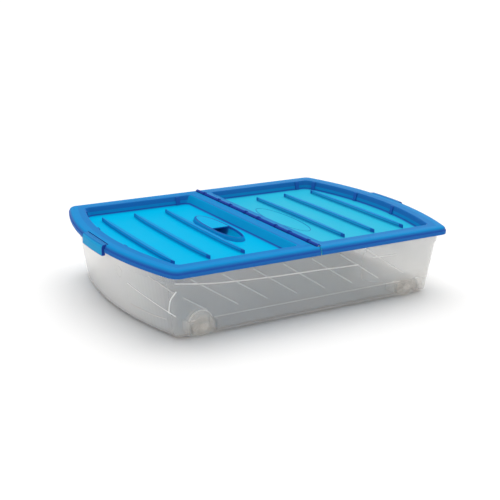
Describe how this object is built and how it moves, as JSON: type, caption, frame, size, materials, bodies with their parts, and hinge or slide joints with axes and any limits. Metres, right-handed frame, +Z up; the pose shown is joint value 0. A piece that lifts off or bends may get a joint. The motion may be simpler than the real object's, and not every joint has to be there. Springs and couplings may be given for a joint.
{
  "type": "under bed box",
  "caption": "Low see-through storage box on small wheels, closed by blue lid flaps that fold up from a hinge across the middle, with a latch at each end.",
  "frame": {"origin": "on the ground under the middle of the box", "axes": "+X along the box's length towards the flap without the finger grip, +Y across it, +Z up"},
  "size_m": [0.8052, 0.592, 0.169],
  "materials": {
    "clear_plastic": "milky clear, glossy",
    "blue_plastic": "see-through blue, glossy",
    "latch_plastic": "see-through blue, glossy",
    "wheel_plastic": "milky clear, satin",
    "axle_plastic": "milky clear, glossy",
    "rod_steel": "drawn"
  },
  "bodies": {
    "bin": {"bin": "clear_plastic", "axle_front_left": "axle_plastic", "axle_front_right": "axle_plastic", "axle_rear_left": "axle_plastic", "axle_rear_right": "axle_plastic"},
    "hinge": {"hinge_rod": "rod_steel"},
    "left_flap": {"left_lid": "blue_plastic"},
    "right_flap": {"right_lid": "blue_plastic"},
    "left_clip": {"left_latch": "latch_plastic"},
    "right_clip": {"right_latch": "latch_plastic"},
    "wheel_front_left": {"wheel_front_left": "wheel_plastic"},
    "wheel_front_right": {"wheel_front_right": "wheel_plastic"},
    "wheel_rear_left": {"wheel_rear_left": "wheel_plastic"},
    "wheel_rear_right": {"wheel_rear_right": "wheel_plastic"}
  },
  "joints": [
    {"name": "lid_lift", "type": "slide", "parent": "bin", "child": "hinge", "axis": [0, 0, 1], "range_m": [0, 0.2]},
    {"name": "left_flap_hinge", "type": "hinge", "parent": "hinge", "child": "left_flap", "pos_m": [0, 0, 0.1632], "axis": [0, 1, 0], "range_deg": [0, 88]},
    {"name": "right_flap_hinge", "type": "hinge", "parent": "hinge", "child": "right_flap", "pos_m": [0, 0, 0.1632], "axis": [0, -1, 0], "range_deg": [0, 88]},
    {"name": "left_latch_turn", "type": "hinge", "parent": "left_flap", "child": "left_clip", "pos_m": [-0.3915, 0, 0.1589], "axis": [0, 1, 0], "range_deg": [0, 90]},
    {"name": "right_latch_turn", "type": "hinge", "parent": "right_flap", "child": "right_clip", "pos_m": [0.3915, 0, 0.1589], "axis": [0, -1, 0], "range_deg": [0, 90]},
    {"name": "wheel_front_left_roll", "type": "hinge", "parent": "bin", "child": "wheel_front_left", "pos_m": [-0.262, -0.2439, 0.0235], "axis": [0, 1, 0], "continuous": true},
    {"name": "wheel_front_right_roll", "type": "hinge", "parent": "bin", "child": "wheel_front_right", "pos_m": [0.262, -0.2439, 0.0235], "axis": [0, 1, 0], "continuous": true},
    {"name": "wheel_rear_left_roll", "type": "hinge", "parent": "bin", "child": "wheel_rear_left", "pos_m": [-0.262, 0.2439, 0.0235], "axis": [0, 1, 0], "continuous": true},
    {"name": "wheel_rear_right_roll", "type": "hinge", "parent": "bin", "child": "wheel_rear_right", "pos_m": [0.262, 0.2439, 0.0235], "axis": [0, 1, 0], "continuous": true}
  ]
}
